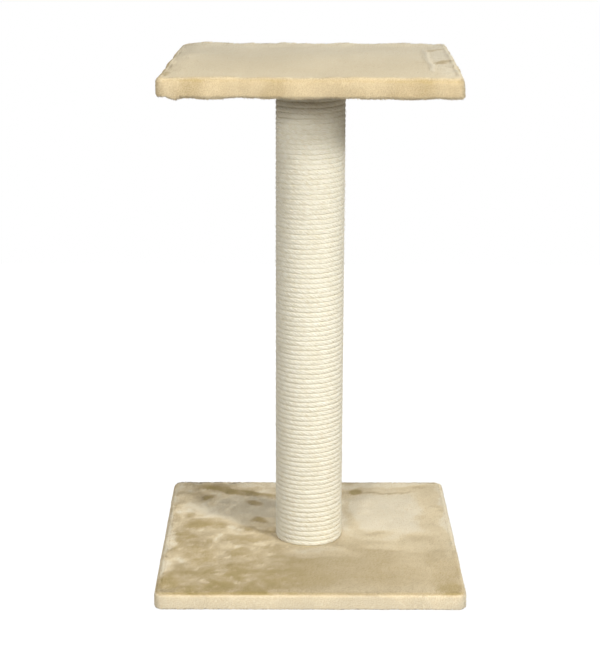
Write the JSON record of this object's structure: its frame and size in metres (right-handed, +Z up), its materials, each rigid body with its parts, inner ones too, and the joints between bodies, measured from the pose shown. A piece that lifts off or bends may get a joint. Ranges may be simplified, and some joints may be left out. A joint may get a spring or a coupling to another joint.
{
  "type": "cat scratcher",
  "caption": "Free-standing cat scratching post: a sisal-wound upright between a plush-covered square base and a smaller plush-covered square platform.",
  "frame": {"origin": "centre of the base's underside, on the floor", "axes": "+Z up along the post, -Y to the front, +X to the right as seen from the front"},
  "size_m": [0.407, 0.407, 0.69],
  "materials": {
    "chipboard": "raw chipboard",
    "plush": "short beige plush",
    "sisal": "twisted natural sisal",
    "paper_tube": "spiral-wound kraft paper",
    "plug_wood": "raw pine",
    "zinc_steel": "zinc-plated",
    "staple_steel": "bright wire",
    "felt": "non-woven felt"
  },
  "bodies": {
    "base": {"base_board": "chipboard", "base_plush_cover": "plush", "base_cover_staples": "staple_steel", "base_bolt": "zinc_steel", "base_washer": "zinc_steel"},
    "post": {"post_tube": "paper_tube", "post_bottom_plug": "plug_wood", "post_top_plug": "plug_wood", "post_bottom_tee_nut": "zinc_steel", "post_top_tee_nut": "zinc_steel", "bottom_plug_nails": "staple_steel", "top_plug_nails": "staple_steel", "sisal_rope_1": "sisal", "sisal_rope_2": "sisal", "sisal_rope_3": "sisal", "sisal_rope_4": "sisal", "rope_end_staples": "staple_steel", "platform_stud": "zinc_steel"},
    "platform": {"platform_board": "chipboard", "platform_tee_nut": "zinc_steel", "platform_plush_cover": "plush", "platform_cover_staples": "staple_steel", "platform_lining": "felt"}
  },
  "joints": [
    {"name": "post_turn", "type": "hinge", "parent": "base", "child": "post", "pos_m": [0, 0, 0.023], "axis": [0, 0, 1], "continuous": true},
    {"name": "platform_turn", "type": "hinge", "parent": "post", "child": "platform", "pos_m": [0, 0, 0.6695], "axis": [0, 0, 1], "continuous": true}
  ]
}
